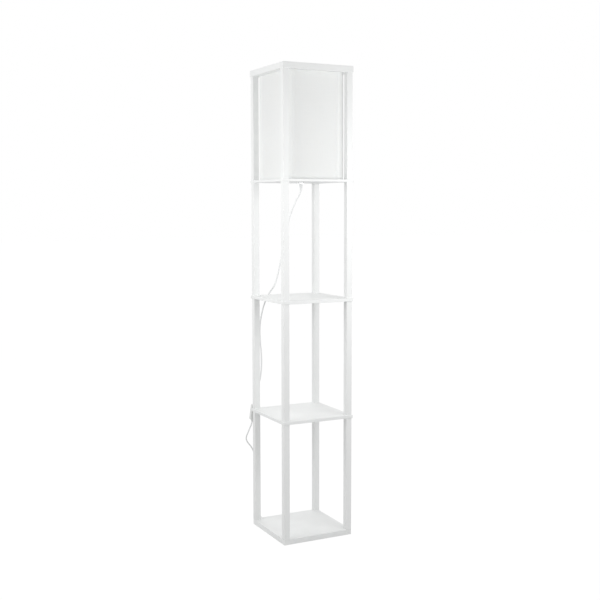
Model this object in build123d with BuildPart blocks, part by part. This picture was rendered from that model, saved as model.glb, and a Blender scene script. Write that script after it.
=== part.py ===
from build123d import *
import math
import os

# Shelf floor lamp: a slim square tower of four posts with three open bays and a fabric shade
# on top. +Z is up and -Y is the front. The origin is the middle of the footprint on the floor.
# All sizes are in millimetres.

os.makedirs("parts", exist_ok=True)

# ---------------------------------------------------------------- driving dimensions

# tower
frame_width = 256.0  # over the outer faces of the posts
post_width = 20.5
post_length = 390.0  # each of the three lower tiers
shade_post_length = 352.0
edge_easing = 1.0  # small radius on the long edges of the woodwork
base_thickness = 18.0
base_easing = 1.6
foot_reveal = 1.0  # the pads lift the base this far off the floor
foot_thickness = 3.0
foot_diameter = 20.0
foot_inset = 40.0  # pad centre from the edge of the base
shelf_thickness = 10.5
shelf_overhang = 3.0
shade_floor_thickness = 8.0
rail_height = 20.0
rail_overhang = 2.0
rail_width = 25.5

# fasteners
stud_diameter = 6.0
stud_depth = 25.0  # into each post
screw_diameter = 5.0
screw_head_diameter = 9.5
screw_depth = 36.0  # into the post
dowel_diameter = 8.0
dowel_length = 24.0
dowel_in_long_rail = 9.0
hole_clearance = 0.2  # on the diameter, round studs, screws and dowels
end_clearance = 0.5  # at the bottom of blind holes

# shade
shade_gap = 4.0  # between the shade and the inner faces of the posts
panel_thickness = 1.2
hem_width = 22.0
hem_thickness = 0.5
shade_lift = 3.0  # gap between the shade and its floor
shade_top_drop = 6.0  # the shade stops this far below the top of the rails
wire_diameter = 3.0
wire_corner = 6.0
wire_clearance = 0.1
arm_diameter = 2.6

# lampholder
nipple_diameter = 10.0
nipple_bore = 6.5
holder_diameter = 39.0
holder_wall = 2.0
flange_diameter = 46.0
flange_height = 6.0
cap_height = 20.0
shell_height = 36.0
shell_bore = 30.0
fitter_thickness = 2.0
fitter_diameter = 56.0
ring_nut_diameter = 52.0
ring_nut_height = 8.0
ring_nut_flutes = 16
fitter_clearance = 0.4
washer_diameter = 20.0
washer_thickness = 1.2
nut_across_flats = 16.0
nut_height = 4.0
relief_length = 20.0
relief_diameter = 12.0
relief_collar = 6.0
relief_lip = 1.0
relief_ribs = 4  # grooves round the tapered end
relief_groove = 1.2
relief_groove_depth = 0.8
nipple_grip = 3.0  # of the nipple inside the strain relief
nipple_stand = 3.0  # of the nipple above the cap's floor
flange_easing = 1.5
shell_easing = 1.2
socket_floor = 2.0
socket_rim = 4.0  # the screw shell stops this far below the lampholder's rim
contact_diameter = 8.0
flute_radius = 2.5

# bulb
bulb_diameter = 60.0
bulb_length = 108.0
bulb_neck_diameter = 29.0
bulb_cap_diameter = 26.0
bulb_neck_length = 9.0
bulb_wall = 1.0
bulb_cap_length = 24.0
insulator_height = 4.0
insulator_step = 2.0
tip_diameter = 9.0
tip_height = 1.5
bulb_clearance = 0.6  # between the bulb's cap and the socket's screw shell
contact_gap = 0.3

# mains cord, with its switch and plug
cord_diameter = 5.0
bend_share = 0.45  # of the shorter run beside a corner that its arc takes up
run_into_switch = 22.0
run_out_of_switch = 10.0
run_into_plug = 15.7
switch_inset = 7.2  # from the left edge of the frame to the middle of the switch
switch_stand_off = 12.0  # from the back of the frame
switch_drop = 14.9  # below the top of the lower shelf
switch_axis = Vector(-0.1445, 0.0, -0.9895).normalized()
switch_length = 60.0
switch_width = 20.0
switch_thickness = 14.0
switch_corner = 8.5
switch_easing = 3.0
switch_screw_diameter = 2.5
switch_screw_bite = 3.5  # into the cover
switch_screw_offset = 20.0
switch_head_diameter = 4.8
switch_head_height = 1.4
switch_head_sink = 2.0
nose_length = 5.0
nose_root_diameter = 9.0
nose_tip_diameter = 6.6
rocker_length = 16.0
rocker_width = 9.4
rocker_rise = 2.6  # from the pivot to the middle of its top
rocker_depth = 2.6
rocker_swing = 16.0  # degrees from off to on
rocker_gap = 0.35  # beside the rocker
rocker_end_gap = 0.8  # at its ends, which swing
pivot_level = 4.0
pivot_diameter = 2.0
pivot_reach = 1.5
pivot_clearance = 0.3
pocket_depth = 4.0
plug_side_offset = 8.0  # from the right edge of the frame to the start of the plug
plug_back_offset = 26.0  # from the back edge
plug_heading = Vector(0.451, 0.893, 0).normalized()
plug_width = 25.0
plug_thickness = 14.0
plug_length = 28.0
plug_nose = 10.0
plug_nose_diameter = 11.0
plug_lip = 1.5
plug_taper = 3.0
plug_corner = 4.5
blade_spacing = 12.7
blade_height = 6.4
blade_thickness = 1.5
blade_length = 17.0
blade_tip_chamfer = 1.2
blade_hole_diameter = 3.0
blade_hole_inset = 4.5
groove_count = 4
groove_spacing = 4.2
groove_length = 14.0
groove_width = 1.6
groove_depth = 0.9

# hank of spare cord on the floor behind the base
hank_middle_x = -5.0
hank_middle_y = 146.5
hank_run = 90.0
hank_fold_radius = 15.0
hank_join = 2.0  # the hank's stretch starts this far beyond its left end
lead_in = 16.0  # level run into the hank from the left, with the join
lead_out = 15.0  # level run out of it to the right
fold_easing = 0.3  # the fold's arcs are this much tighter, so that they never touch
low_layer = 3.1  # height of the cord's middle in each layer
high_layer = 8.8
climb_step = 4.4  # rise over the first corners of the fold that changes layer
waist_length = 22.0
waist_reach = 35.0  # half the length over which the runs are drawn in
waist_radius = 30.0
waist_shift = 12.0
waist_spacing = 5.5
tie_width = 7.0
tie_thickness = 0.5
tie_clearance = 0.1
hank_sample_count = 200

# ---------------------------------------------------------------- levels and centres

base_bottom = foot_reveal
base_top = base_bottom + base_thickness
lower_shelf_bottom = base_top + post_length
lower_shelf_top = lower_shelf_bottom + shelf_thickness
middle_shelf_bottom = lower_shelf_top + post_length
middle_shelf_top = middle_shelf_bottom + shelf_thickness
shade_floor_bottom = middle_shelf_top + post_length
shade_floor_top = shade_floor_bottom + shade_floor_thickness
rail_bottom = shade_floor_top + shade_post_length
rail_top = rail_bottom + rail_height

half_frame = frame_width / 2
post_centre = half_frame - post_width / 2
corners = {
    "front_left": (-post_centre, -post_centre),
    "front_right": (post_centre, -post_centre),
    "back_left": (-post_centre, post_centre),
    "back_right": (post_centre, post_centre),
}
corner_points = list(corners.values())
stud_bore = stud_diameter + hole_clearance
screw_bore = screw_diameter + hole_clearance
dowel_bore = dowel_diameter + hole_clearance


def save(piece, name):
    """Label a finished piece and write its STEP file."""
    piece.part.label = name
    export_step(piece.part, f"parts/{name}.step")


def upward_hole(x, y, level):
    """A place at which a hole is drilled upwards from a lower face."""
    return Location((x, y, level), (180, 0, 0))


# ---------------------------------------------------------------- base, feet and shelves

foot_centre = half_frame - foot_inset
foot_points = [(x, y) for x in (-foot_centre, foot_centre) for y in (-foot_centre, foot_centre)]

with BuildPart() as base_plate:
    with BuildSketch(Plane.XY.offset(base_bottom)):
        Rectangle(frame_width, frame_width)
    extrude(amount=base_thickness)
    fillet(base_plate.edges().filter_by(Axis.Z), base_easing)
    fillet(base_plate.faces().sort_by(Axis.Z)[-1].edges(), base_easing)
    with Locations(*[upward_hole(x, y, base_bottom) for x, y in corner_points]):
        CounterSinkHole(screw_bore / 2, screw_head_diameter / 2)
    with Locations(*[upward_hole(x, y, base_bottom) for x, y in foot_points]):
        Hole((foot_diameter + hole_clearance) / 2, depth=foot_thickness - foot_reveal)
save(base_plate, "base_plate")

with BuildPart() as foot_pads:
    with BuildSketch():
        with Locations(*foot_points):
            Circle(foot_diameter / 2)
    extrude(amount=foot_thickness)
save(foot_pads, "foot_pads")


def make_shelf(name, bottom, thickness, middle_hole=0.0):
    """A thin square board held between two tiers of posts by the studs that pass through it."""
    with BuildPart() as shelf:
        with BuildSketch(Plane.XY.offset(bottom)):
            Rectangle(frame_width + 2 * shelf_overhang, frame_width + 2 * shelf_overhang)
        extrude(amount=thickness)
        fillet(shelf.edges().filter_by(Axis.Z), edge_easing)
        fillet(shelf.faces().sort_by(Axis.Z)[-1].edges(), edge_easing)
        fillet(shelf.faces().sort_by(Axis.Z)[0].edges(), edge_easing)
        with Locations(*[(x, y, bottom + thickness) for x, y in corner_points]):
            Hole(stud_bore / 2)
        if middle_hole > 0:
            with Locations((0, 0, bottom + thickness)):
                Hole(middle_hole / 2)
    save(shelf, name)


make_shelf("lower_shelf", lower_shelf_bottom, shelf_thickness)
make_shelf("middle_shelf", middle_shelf_bottom, shelf_thickness)
make_shelf("shade_floor", shade_floor_bottom, shade_floor_thickness, nipple_diameter + hole_clearance)

# ---------------------------------------------------------------- posts


def make_post(name, x, y, bottom, top, lower_hole, upper_hole):
    """One square post with a blind hole in each end, given as (diameter, depth)."""
    with BuildPart() as post:
        with BuildSketch(Plane.XY.offset(bottom)):
            with Locations((x, y)):
                RectangleRounded(post_width, post_width, edge_easing)
        extrude(amount=top - bottom)
        with Locations(upward_hole(x, y, bottom)):
            Hole(lower_hole[0] / 2, depth=lower_hole[1] + end_clearance)
        with Locations((x, y, top)):
            Hole(upper_hole[0] / 2, depth=upper_hole[1] + end_clearance)
    save(post, name)


stud_hole = (stud_bore, stud_depth)
screw_hole = (screw_bore, screw_depth)
tiers = (
    ("lower_post", base_top, lower_shelf_bottom, screw_hole, stud_hole),
    ("middle_post", lower_shelf_top, middle_shelf_bottom, stud_hole, stud_hole),
    ("upper_post", middle_shelf_top, shade_floor_bottom, stud_hole, stud_hole),
    ("shade_post", shade_floor_top, rail_bottom, stud_hole, screw_hole),
)
for tier, bottom, top, lower_hole, upper_hole in tiers:
    for corner, (x, y) in corners.items():
        make_post(f"{tier}_{corner}", x, y, bottom, top, lower_hole, upper_hole)

# ---------------------------------------------------------------- top frame

rail_length = frame_width + 2 * rail_overhang
rail_centre = rail_length / 2 - rail_width / 2
side_rail_length = rail_length - 2 * rail_width
dowel_level = rail_bottom + rail_height / 2
dowel_in_side_rail = dowel_length - dowel_in_long_rail


def make_long_rail(name, side):
    """The front (side -1) or back (side 1) rail, which runs the full width over two posts."""
    with BuildPart() as rail:
        with BuildSketch(Plane.XY.offset(rail_bottom)):
            with Locations((0, side * rail_centre)):
                Rectangle(rail_length, rail_width)
        extrude(amount=rail_height)
        outer_face = rail.faces().sort_by(Axis.Y)[0 if side < 0 else -1]
        fillet(outer_face.edges(), edge_easing)
        with Locations(*[(x, side * post_centre, rail_top) for x in (-post_centre, post_centre)]):
            CounterSinkHole(screw_bore / 2, screw_head_diameter / 2)
        joint_face = side * (rail_centre - rail_width / 2)
        for x in (-rail_centre, rail_centre):
            with Locations(Location((x, joint_face, dowel_level), (90 * side, 0, 0))):
                Hole(dowel_bore / 2, depth=dowel_in_long_rail + end_clearance)
    save(rail, name)


def make_side_rail(name, side):
    """The left (side -1) or right (side 1) rail, dowelled between the long rails."""
    with BuildPart() as rail:
        with BuildSketch(Plane.XY.offset(rail_bottom)):
            with Locations((side * rail_centre, 0)):
                Rectangle(rail_width, side_rail_length)
        extrude(amount=rail_height)
        outer_face = rail.faces().sort_by(Axis.X)[0 if side < 0 else -1]
        fillet(outer_face.edges().filter_by(Axis.Y), edge_easing)
        for end in (-1, 1):
            place = Location((side * rail_centre, end * side_rail_length / 2, dowel_level), (-90 * end, 0, 0))
            with Locations(place):
                Hole(dowel_bore / 2, depth=dowel_in_side_rail + end_clearance)
    save(rail, name)


make_long_rail("top_rail_front", -1)
make_long_rail("top_rail_back", 1)
make_side_rail("top_rail_left", -1)
make_side_rail("top_rail_right", 1)

with BuildPart() as rail_dowels:
    for end in (-1, 1):
        joint = end * side_rail_length / 2
        start = joint - end * dowel_in_side_rail
        with BuildSketch(Plane(origin=(0, start, dowel_level), x_dir=(1, 0, 0), z_dir=(0, end, 0))):
            with Locations((-rail_centre, 0), (rail_centre, 0)):
                Circle(dowel_diameter / 2)
        extrude(amount=dowel_length)
save(rail_dowels, "rail_dowels")

# ---------------------------------------------------------------- studs and screws


def make_studs(name, board_bottom, board_top):
    """Four studs that pass through a board and into the posts below and above it."""
    with BuildPart() as studs:
        with BuildSketch(Plane.XY.offset(board_bottom - stud_depth)):
            with Locations(*corner_points):
                Circle(stud_diameter / 2)
        extrude(amount=board_top - board_bottom + 2 * stud_depth)
    save(studs, name)


def make_screws(name, head_level, direction, board):
    """Four countersunk screws that pass through a board into the posts, flush at head_level."""
    head_height = (screw_head_diameter - screw_diameter) / 2
    length = board + screw_depth
    with BuildPart() as screws:
        with BuildSketch(Plane.XZ):
            with BuildLine():
                Polyline(
                    (0, 0),
                    (screw_head_diameter / 2 - hole_clearance, 0),
                    (screw_diameter / 2, direction * head_height),
                    (screw_diameter / 2, direction * length),
                    (0, direction * length),
                    close=True,
                )
            make_face()
        revolve(axis=Axis.Z)
        one_screw = screws.part
        placed = [one_screw.moved(Location((x, y, head_level))) for x, y in corner_points]
        add(placed, mode=Mode.REPLACE)
    save(screws, name)


make_studs("lower_shelf_studs", lower_shelf_bottom, lower_shelf_top)
make_studs("middle_shelf_studs", middle_shelf_bottom, middle_shelf_top)
make_studs("shade_floor_studs", shade_floor_bottom, shade_floor_top)
make_screws("base_screws", base_bottom, 1, base_thickness)
make_screws("top_screws", rail_top, -1, rail_height)

# ---------------------------------------------------------------- shade

shade_width = frame_width - 2 * post_width - 2 * shade_gap
half_shade = shade_width / 2
shade_bottom = shade_floor_top + shade_lift
shade_top = rail_top - shade_top_drop
panel_height = shade_top - shade_bottom


def make_panel(name, plane, width):
    """A fabric panel on a stiff backing, with a turned hem down each side. The plane's Z points out."""
    with BuildPart() as panel:
        with BuildSketch(plane.offset(-panel_thickness)):
            Rectangle(width, panel_height)
        extrude(amount=panel_thickness)
        with BuildSketch(plane):
            with Locations((-(width - hem_width) / 2, 0), ((width - hem_width) / 2, 0)):
                Rectangle(hem_width, panel_height)
        extrude(amount=hem_thickness)
    save(panel, name)


panel_middle = (shade_bottom + shade_top) / 2
inner_width = shade_width - 2 * panel_thickness
front = Plane(origin=(0, -half_shade, panel_middle), x_dir=(1, 0, 0), z_dir=(0, -1, 0))
back = Plane(origin=(0, half_shade, panel_middle), x_dir=(-1, 0, 0), z_dir=(0, 1, 0))
left = Plane(origin=(-half_shade, 0, panel_middle), x_dir=(0, -1, 0), z_dir=(-1, 0, 0))
right = Plane(origin=(half_shade, 0, panel_middle), x_dir=(0, 1, 0), z_dir=(1, 0, 0))
make_panel("shade_panel_front", front, shade_width)
make_panel("shade_panel_back", back, shade_width)
make_panel("shade_panel_left", left, inner_width)
make_panel("shade_panel_right", right, inner_width)

wire_centre = half_shade - panel_thickness - wire_clearance - wire_diameter / 2


def add_wire_ring(level):
    """Add a square ring of round wire with rounded corners to the part being built."""
    corner_marks = [(-1, -1, 0), (1, -1, 0), (1, 1, 0), (-1, 1, 0)]
    points = [Vector(*mark) * wire_centre + Vector(0, 0, level) for mark in corner_marks]
    with BuildLine() as ring:
        FilletPolyline(*points, radius=wire_corner, close=True)
    path = ring.wires()[0]
    with BuildSketch(Plane(origin=path @ 0, z_dir=path % 0)) as section:
        Circle(wire_diameter / 2)
    sweep(sections=section.sketch, path=path)


holder_base = shade_floor_top
fitter_level = holder_base + flange_height
fitter_bore = holder_diameter + fitter_clearance
arm_level = fitter_level + fitter_thickness / 2
top_wire_level = shade_top - wire_diameter

with BuildPart() as shade_top_ring:
    add_wire_ring(top_wire_level)
save(shade_top_ring, "shade_top_ring")

# The lower ring carries four arms that meet in a flat fitter, which sits on the lampholder's flange.
with BuildPart() as shade_carrier:
    add_wire_ring(arm_level)
    arm_start = (ring_nut_diameter + fitter_diameter) / 4
    for turn in range(4):
        direction = Vector(1, 0, 0).rotate(Axis.Z, 90 * turn)
        start = direction * arm_start + Vector(0, 0, arm_level)
        with BuildSketch(Plane(origin=start, z_dir=direction)):
            Circle(arm_diameter / 2)
        extrude(amount=wire_centre - arm_start)
    with BuildSketch(Plane.XY.offset(fitter_level)):
        Circle(fitter_diameter / 2)
    extrude(amount=fitter_thickness)
    with BuildSketch(Plane.XY.offset(fitter_level)):
        Circle(fitter_bore / 2)
    extrude(amount=fitter_thickness, mode=Mode.SUBTRACT)
save(shade_carrier, "shade_carrier")

# ---------------------------------------------------------------- lampholder

shell_bottom = holder_base + cap_height
shell_top = shell_bottom + shell_height
nut_top = shade_floor_bottom - washer_thickness
nut_bottom = nut_top - nut_height
relief_bottom = nut_bottom - relief_length
cap_bottom = shell_top - bulb_cap_length
bulb_bottom = cap_bottom - insulator_height - tip_height
screw_shell_bore = bulb_cap_diameter + 2 * bulb_clearance


def add_ring(outer, inner, bottom, height):
    """Add an upright tube about the lamp's axis to the part being built."""
    with BuildSketch(Plane.XY.offset(bottom)) as section:
        Circle(outer / 2)
        Circle(inner / 2, mode=Mode.SUBTRACT)
    extrude(section.sketch, amount=height)


with BuildPart() as lampholder_cap:
    with BuildSketch(Plane.XY.offset(holder_base)):
        Circle(flange_diameter / 2)
    extrude(amount=flange_height)
    fillet(lampholder_cap.faces().sort_by(Axis.Z)[0].edges(), flange_easing)
    with BuildSketch(Plane.XY.offset(fitter_level)):
        Circle(holder_diameter / 2)
    extrude(amount=shell_bottom - fitter_level)
    with BuildSketch(Plane.XY.offset(fitter_level)):
        Circle(holder_diameter / 2 - holder_wall)
    extrude(amount=shell_bottom - fitter_level, mode=Mode.SUBTRACT)
    with Locations((0, 0, fitter_level)):
        Hole((nipple_diameter + hole_clearance) / 2, depth=flange_height)
save(lampholder_cap, "lampholder_cap")

with BuildPart() as lampholder_shell:
    add_ring(holder_diameter, shell_bore, shell_bottom, shell_height)
    with BuildSketch(Plane.XY.offset(shell_bottom)):
        Circle(holder_diameter / 2)
    extrude(amount=socket_floor)
    rim = lampholder_shell.faces().filter_by(Axis.Z).sort_by(Axis.Z)[-1]
    fillet(rim.edges(), shell_easing)
save(lampholder_shell, "lampholder_shell")

with BuildPart() as shade_ring_nut:
    with BuildSketch(Plane.XY.offset(fitter_level + fitter_thickness)):
        Circle(ring_nut_diameter / 2)
        with PolarLocations(ring_nut_diameter / 2 + flute_radius / 2, ring_nut_flutes):
            Circle(flute_radius, mode=Mode.SUBTRACT)
        Circle(fitter_bore / 2, mode=Mode.SUBTRACT)
    extrude(amount=ring_nut_height)
save(shade_ring_nut, "shade_ring_nut")

with BuildPart() as socket_screw_shell:
    screw_shell_bottom = shell_bottom + socket_floor
    screw_shell_height = shell_top - socket_rim - screw_shell_bottom
    add_ring(shell_bore - hole_clearance, screw_shell_bore, screw_shell_bottom, screw_shell_height)
save(socket_screw_shell, "socket_screw_shell")

with BuildPart() as socket_contact:
    with BuildSketch(Plane.XY.offset(shell_bottom + socket_floor)):
        Circle(contact_diameter / 2)
    extrude(amount=bulb_bottom - contact_gap - shell_bottom - socket_floor)
save(socket_contact, "socket_contact")

with BuildPart() as threaded_nipple:
    nipple_bottom = nut_bottom - nipple_grip
    add_ring(nipple_diameter, nipple_bore, nipple_bottom, fitter_level + nipple_stand - nipple_bottom)
save(threaded_nipple, "threaded_nipple")

with BuildPart() as nipple_washer:
    add_ring(washer_diameter, nipple_diameter + hole_clearance, nut_top, washer_thickness)
save(nipple_washer, "nipple_washer")

with BuildPart() as nipple_nut:
    with BuildSketch(Plane.XY.offset(nut_bottom)):
        RegularPolygon(nut_across_flats / 2, 6, major_radius=False)
        Circle((nipple_diameter + hole_clearance) / 2, mode=Mode.SUBTRACT)
    extrude(amount=nut_height)
save(nipple_nut, "nipple_nut")

with BuildPart() as strain_relief:
    with BuildSketch(Plane.XZ):
        with BuildLine():
            Polyline(
                (0, nut_bottom),
                (relief_diameter / 2, nut_bottom),
                (relief_diameter / 2, nut_bottom - relief_collar),
                (cord_diameter / 2 + relief_lip, relief_bottom),
                (0, relief_bottom),
                close=True,
            )
        make_face()
    revolve(axis=Axis.Z)
    with Locations((0, 0, nut_bottom)):
        Hole((nipple_diameter + hole_clearance) / 2, depth=nipple_grip)
    # Grooves between its ribs let the tapered end bend.
    tip_radius = cord_diameter / 2 + relief_lip
    taper_length = relief_length - relief_collar
    for rib in range(1, relief_ribs + 1):
        down = rib * taper_length / (relief_ribs + 1)
        outer = relief_diameter / 2 + (tip_radius - relief_diameter / 2) * down / taper_length
        with BuildSketch(Plane.XY.offset(nut_bottom - relief_collar - down - relief_groove / 2)):
            Circle(relief_diameter)
            Circle(outer - relief_groove_depth, mode=Mode.SUBTRACT)
        extrude(amount=relief_groove, mode=Mode.SUBTRACT)
save(strain_relief, "strain_relief")

# ---------------------------------------------------------------- bulb

bulb_radius = bulb_diameter / 2
neck_radius = bulb_neck_diameter / 2
neck_bottom = shell_top + bulb_clearance
neck_top = neck_bottom + bulb_neck_length
head_level = bulb_bottom + bulb_length - bulb_radius


def bulb_outline(depth):
    """Half outline of the globe and neck, this far inside the bulb's outer surface."""
    neck = neck_radius - depth
    with BuildSketch(Plane.XZ) as outline:
        with BuildLine():
            crown = CenterArc((0, head_level), bulb_radius - depth, -30, 120)
            shoulder = Spline(crown @ 0, (neck, neck_top), tangents=[-(crown % 0), Vector(0, -1)])
            Polyline(shoulder @ 1, (neck, neck_bottom), (0, neck_bottom), crown @ 1)
        make_face()
    return outline.sketch


with BuildPart() as bulb_glass:
    revolve(bulb_outline(0), axis=Axis.Z)
    revolve(bulb_outline(bulb_wall), axis=Axis.Z, mode=Mode.SUBTRACT)
save(bulb_glass, "bulb_glass")

with BuildPart() as bulb_cap:
    with BuildSketch(Plane.XY.offset(cap_bottom)):
        Circle(bulb_cap_diameter / 2)
    extrude(amount=neck_bottom - cap_bottom)
save(bulb_cap, "bulb_cap")

with BuildPart() as bulb_tip:
    with BuildSketch(Plane.XZ):
        with BuildLine():
            Polyline(
                (0, cap_bottom),
                (bulb_cap_diameter / 2 - insulator_step, cap_bottom),
                (tip_diameter / 2, cap_bottom - insulator_height),
                (tip_diameter / 2, bulb_bottom),
                (0, bulb_bottom),
                close=True,
            )
        make_face()
    revolve(axis=Axis.Z)
save(bulb_tip, "bulb_tip")

# ---------------------------------------------------------------- inline switch

# The switch hangs on the cord just behind the lower shelf, tilted with the cord. In its own plane
# X runs along the cord, Y across the switch and Z out of the side that has the rocker.
switch_middle = Vector(switch_inset - half_frame, half_frame + switch_stand_off, lower_shelf_top - switch_drop)
switch_plane = Plane(origin=switch_middle, x_dir=switch_axis, z_dir=(0, 1, 0))
half_thickness = switch_thickness / 2
half_length = switch_length / 2
cord_reach = half_length + nose_length
opening_length = rocker_length + 2 * rocker_end_gap
opening_width = rocker_width + 2 * rocker_gap
pivot_point = switch_plane.from_local_coords((0, 0, pivot_level))
screw_places = [(-switch_screw_offset, 0), (switch_screw_offset, 0)]


def add_switch_housing():
    """Add the whole outside of the switch, with a nose at each end where the cord goes in."""
    with BuildSketch(switch_plane.offset(-half_thickness)) as outline:
        RectangleRounded(switch_length, switch_width, switch_corner)
    housing = extrude(outline.sketch, amount=switch_thickness)
    flat_sides = housing.faces().sort_by(Axis(switch_middle, switch_plane.z_dir))
    fillet(flat_sides[0].edges() + flat_sides[-1].edges(), switch_easing)
    for end in (-1, 1):
        nose_root = switch_middle + switch_axis * end * (half_length - switch_easing)
        nose_tip = switch_middle + switch_axis * end * cord_reach
        with BuildSketch(Plane(nose_root, z_dir=switch_axis * end)) as root:
            Circle(nose_root_diameter / 2)
        with BuildSketch(Plane(nose_tip, z_dir=switch_axis * end)) as tip:
            Circle(nose_tip_diameter / 2)
        loft([root.sketch, tip.sketch])


def cut_from_joint(depth):
    """Cut the rocker's opening from the joint between the two halves, to the given depth."""
    with BuildSketch(switch_plane) as opening:
        Rectangle(opening_length, opening_width)
    extrude(opening.sketch, amount=depth, mode=Mode.SUBTRACT)


def drill_switch(start, depth, diameter):
    """Drill the two screw holes from one level of the switch to another."""
    with BuildSketch(switch_plane.offset(start)) as holes:
        with Locations(*screw_places):
            Circle(diameter / 2)
    extrude(holes.sketch, amount=depth, mode=Mode.SUBTRACT)


with BuildPart() as switch_cover:
    add_switch_housing()
    split(bisect_by=switch_plane, keep=Keep.TOP)
    cut_from_joint(half_thickness)
    with BuildSketch(Plane(pivot_point, x_dir=switch_axis, z_dir=switch_plane.y_dir)):
        Circle(pivot_diameter / 2 + pivot_clearance)
    extrude(amount=rocker_width / 2 + pivot_reach + pivot_clearance, both=True, mode=Mode.SUBTRACT)
    drill_switch(0, switch_screw_bite + end_clearance, switch_screw_diameter + hole_clearance)
save(switch_cover, "switch_cover")

with BuildPart() as switch_base:
    add_switch_housing()
    split(bisect_by=switch_plane, keep=Keep.BOTTOM)
    cut_from_joint(-pocket_depth)
    drill_switch(0, -half_thickness, switch_screw_diameter + hole_clearance)
    drill_switch(-half_thickness, switch_head_sink, switch_head_diameter + hole_clearance)
save(switch_base, "switch_base")

with BuildPart() as switch_screws:
    head_seat = switch_head_sink - half_thickness
    with BuildSketch(switch_plane.offset(head_seat)):
        with Locations(*screw_places):
            Circle(switch_screw_diameter / 2)
    extrude(amount=switch_screw_bite - head_seat)
    with BuildSketch(switch_plane.offset(head_seat)):
        with Locations(*screw_places):
            Circle(switch_head_diameter / 2)
    extrude(amount=-switch_head_height)
save(switch_screws, "switch_screws")

# At rest the rocker leans to the off side. Its top is a shallow V, so that one half lies level.
lean = math.radians(rocker_swing / 2)
rocker_x = switch_axis * math.cos(lean) - switch_plane.z_dir * math.sin(lean)
rocker_profile = Plane(pivot_point, x_dir=rocker_x, z_dir=-switch_plane.y_dir)
rocker_tip = rocker_rise + rocker_length / 2 * math.tan(lean)

with BuildPart() as switch_rocker:
    with BuildSketch(rocker_profile):
        with BuildLine():
            Polyline(
                (0, rocker_rise),
                (rocker_length / 2, rocker_tip),
                (rocker_length / 2, 0),
                (0, -rocker_depth),
                (-rocker_length / 2, 0),
                (-rocker_length / 2, rocker_tip),
                close=True,
            )
        make_face()
    extrude(amount=rocker_width / 2, both=True)
    with BuildSketch(rocker_profile):
        Circle(pivot_diameter / 2)
    extrude(amount=rocker_width / 2 + pivot_reach, both=True)
save(switch_rocker, "switch_rocker")

# ---------------------------------------------------------------- plug

# The plug lies flat on the floor behind the back right post.
plug_start = Vector(half_frame + plug_side_offset, half_frame + plug_back_offset, plug_thickness / 2)
plug_plane = Plane(origin=plug_start, x_dir=plug_heading.cross(Vector(0, 0, 1)), z_dir=plug_heading)

with BuildPart() as plug_body:
    with BuildSketch(plug_plane):
        Circle(cord_diameter / 2 + plug_lip)
    with BuildSketch(plug_plane.offset(plug_nose)):
        Circle(plug_nose_diameter / 2)
    loft()
    with BuildSketch(plug_plane.offset(plug_nose)):
        RectangleRounded(plug_width - 2 * plug_taper, plug_thickness - plug_taper / 2, plug_corner)
    with BuildSketch(plug_plane.offset(plug_nose + plug_length)):
        RectangleRounded(plug_width, plug_thickness, plug_corner)
    loft()
    # Finger grooves run across both broad sides.
    for side in (-1, 1):
        grip_middle = plug_start + plug_heading * (plug_nose + plug_length / 2)
        broad_side = grip_middle + Vector(0, 0, side * plug_thickness / 2)
        with BuildSketch(Plane(origin=broad_side, x_dir=plug_heading, z_dir=(0, 0, side))):
            with GridLocations(groove_spacing, 0, groove_count, 1):
                SlotOverall(groove_length, groove_width, rotation=90)
        extrude(amount=-groove_depth, mode=Mode.SUBTRACT)
save(plug_body, "plug_body")

with BuildPart() as plug_blades:
    with BuildSketch(plug_plane.offset(plug_nose + plug_length)):
        with Locations((-blade_spacing / 2, 0), (blade_spacing / 2, 0)):
            Rectangle(blade_thickness, blade_height)
    extrude(amount=blade_length)
    tips = plug_blades.faces().group_by(Axis(plug_start, plug_heading))[-1]
    chamfer(tips.edges().filter_by(Axis((0, 0, 0), plug_plane.x_dir)), blade_tip_chamfer)
    hole_place = plug_start + plug_heading * (plug_nose + plug_length + blade_length - blade_hole_inset)
    with BuildSketch(Plane(origin=hole_place, z_dir=plug_plane.x_dir)):
        Circle(blade_hole_diameter / 2)
    extrude(amount=blade_spacing, both=True, mode=Mode.SUBTRACT)
save(plug_blades, "plug_blades")

# ---------------------------------------------------------------- mains cord

# From the strain relief the cord slants back and over the edge of the middle shelf, then hangs
# behind the frame to the switch.
upper_cord_points = [
    Vector(0, 0, relief_bottom),
    Vector(0, 0, 1170),
    Vector(-5.5, 7, 1153),
    Vector(-14, 25, 1118),
    Vector(-22, 43, 1077),
    Vector(-27, 60, 1029),
    Vector(-32, 75, 980),
    Vector(-37, 88, 933),
    Vector(-41, 98, 893),
    Vector(-45, 109, 862),
    Vector(-48, 124, 843),
    Vector(-54, 139, 827),
    Vector(-65, 147, 803),
    Vector(-75, 148, 768),
    Vector(-84, 147, 722),
    Vector(-86, 145, 674),
    Vector(-83, 143, 624),
    Vector(-83, 141, 578),
    Vector(-90, 140, 530),
    Vector(-99, 140, 497),
    switch_middle - switch_axis * (cord_reach + run_into_switch),
    switch_middle - switch_axis * cord_reach,
]

near_side = hank_middle_y - hank_fold_radius
far_side = hank_middle_y + hank_fold_radius
near_waist = near_side + waist_shift
far_waist = near_waist + waist_spacing
hank_left = hank_middle_x - hank_run / 2
hank_right = hank_middle_x + hank_run / 2

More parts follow.
